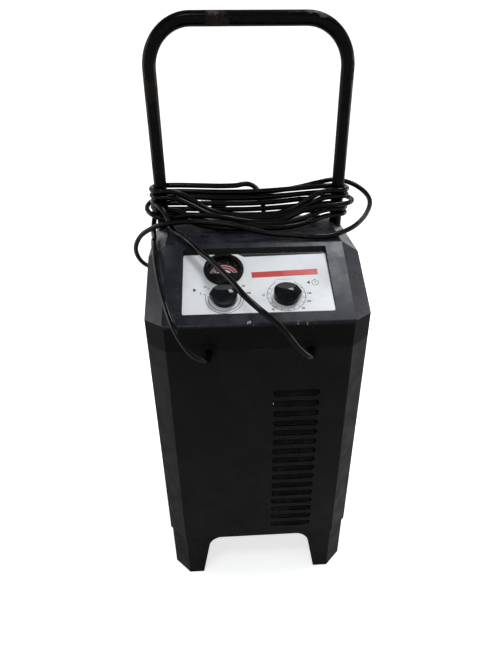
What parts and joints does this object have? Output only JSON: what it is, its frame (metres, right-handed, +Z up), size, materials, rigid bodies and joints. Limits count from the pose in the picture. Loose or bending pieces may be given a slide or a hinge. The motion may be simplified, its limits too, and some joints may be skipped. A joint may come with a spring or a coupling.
{
  "type": "car battery charger",
  "caption": "Wheeled battery charger with a sloping control head, ammeter, two knobs, louvred case, tube handle and wound cables with spring clamps.",
  "frame": {"origin": "centre of the footprint on the floor, without the cables, cord and clamps", "axes": "+X to the right of a person who faces the control panel, +Y to the back where the handle and wheels are, +Z up"},
  "size_m": [0.3793, 0.3585, 0.8625],
  "materials": {
    "base_plastic": "moulded, fine grain",
    "shell_plastic": "moulded, fine grain",
    "head_plastic": "moulded, fine grain",
    "rear_plastic": "moulded, fine grain",
    "panel_print": "printed plate, satin",
    "meter_plastic": "polished",
    "dial_print": "printed dial",
    "lens": "clear",
    "needle": "painted",
    "control_bodies": "phenolic",
    "knob_plastic": "moulded",
    "handle_paint": "gloss black paint",
    "zinc": "zinc plated",
    "rim_plastic": "moulded grey",
    "tyre": "rubber",
    "core_steel": "varnished laminations",
    "copper": "enamelled copper wire",
    "aluminium": "extruded",
    "bushing_plastic": "moulded",
    "cable": "smooth jacket",
    "mains_jacket": "smooth jacket",
    "plug_plastic": "moulded on",
    "blade_metal": "nickel plated brass",
    "clamp_steel": "zinc plated sheet",
    "spring_steel": "spring wire",
    "black_grip": "vinyl",
    "red_grip": "vinyl"
  },
  "bodies": {
    "case": {"base_moulding": "base_plastic", "front_shell": "shell_plastic", "head_cover": "head_plastic", "rear_panel": "rear_plastic", "panel_label": "panel_print", "meter_case": "meter_plastic", "meter_dial": "dial_print", "meter_lens": "lens", "rate_switch": "control_bodies", "timer_body": "zinc", "control_nuts": "zinc", "handle_tube": "handle_paint", "handle_brackets": "zinc", "handle_bolts": "zinc", "axle": "zinc", "axle_caps": "zinc", "transformer_core": "core_steel", "transformer_windings": "copper", "transformer_feet": "zinc", "transformer_bolts": "zinc", "heat_sink": "aluminium", "rectifier_diodes": "zinc", "circuit_breaker": "control_bodies", "front_bushings": "bushing_plastic", "mains_relief": "bushing_plastic", "head_screws": "zinc", "panel_screws": "zinc", "base_screws": "zinc", "negative_cable": "cable", "negative_winding": "cable", "positive_cable": "cable", "positive_winding": "cable", "mains_cord": "mains_jacket", "mains_winding": "mains_jacket", "mains_plug": "plug_plastic", "plug_blades": "blade_metal", "negative_fixed_jaw": "clamp_steel", "negative_fixed_grip": "black_grip", "negative_spring": "spring_steel", "negative_rivet": "zinc", "positive_fixed_jaw": "clamp_steel", "positive_fixed_grip": "red_grip", "positive_spring": "spring_steel", "positive_rivet": "zinc"},
    "rate_control": {"rate_shaft": "zinc", "rate_knob": "knob_plastic"},
    "timer_control": {"timer_shaft": "zinc", "timer_knob": "knob_plastic"},
    "needle": {"meter_needle": "needle"},
    "left_wheel": {"left_rim": "rim_plastic", "left_tyre": "tyre"},
    "right_wheel": {"right_rim": "rim_plastic", "right_tyre": "tyre"},
    "negative_jaw": {"negative_moving_jaw": "clamp_steel", "negative_moving_grip": "black_grip"},
    "positive_jaw": {"positive_moving_jaw": "clamp_steel", "positive_moving_grip": "red_grip"}
  },
  "joints": [
    {"name": "rate_knob_turn", "type": "hinge", "parent": "case", "child": "rate_control", "pos_m": [-0.045, -0.09901, 0.53178], "axis": [0, -0.4289, 0.9033], "range_deg": [-165, 0]},
    {"name": "timer_knob_turn", "type": "hinge", "parent": "case", "child": "timer_control", "pos_m": [0.0385, -0.09901, 0.53178], "axis": [0, -0.4289, 0.9033], "range_deg": [-300, 0]},
    {"name": "meter_needle_swing", "type": "hinge", "parent": "case", "child": "needle", "pos_m": [-0.045, -0.06559, 0.54765], "axis": [0, -0.4289, 0.9033], "range_deg": [-96, 0], "stiffness_Nm_per_rad": 0.00005, "springref_deg": 20.05},
    {"name": "left_wheel_spin", "type": "hinge", "parent": "case", "child": "left_wheel", "pos_m": [-0.129, 0.066, 0.075], "axis": [1, 0, 0], "continuous": true},
    {"name": "right_wheel_spin", "type": "hinge", "parent": "case", "child": "right_wheel", "pos_m": [0.129, 0.066, 0.075], "axis": [1, 0, 0], "continuous": true},
    {"name": "negative_clamp_open", "type": "hinge", "parent": "case", "child": "negative_jaw", "pos_m": [0.1128, 0.126, 0.4532], "axis": [0, 1, 0], "range_deg": [0, 18], "stiffness_Nm_per_rad": 1.2, "springref_deg": -20.05, "deforming": ["negative_spring"]},
    {"name": "positive_clamp_open", "type": "hinge", "parent": "case", "child": "positive_jaw", "pos_m": [0.0228, 0.126, 0.4532], "axis": [0, 1, 0], "range_deg": [0, 18], "stiffness_Nm_per_rad": 1.2, "springref_deg": -20.05, "deforming": ["positive_spring"]}
  ]
}
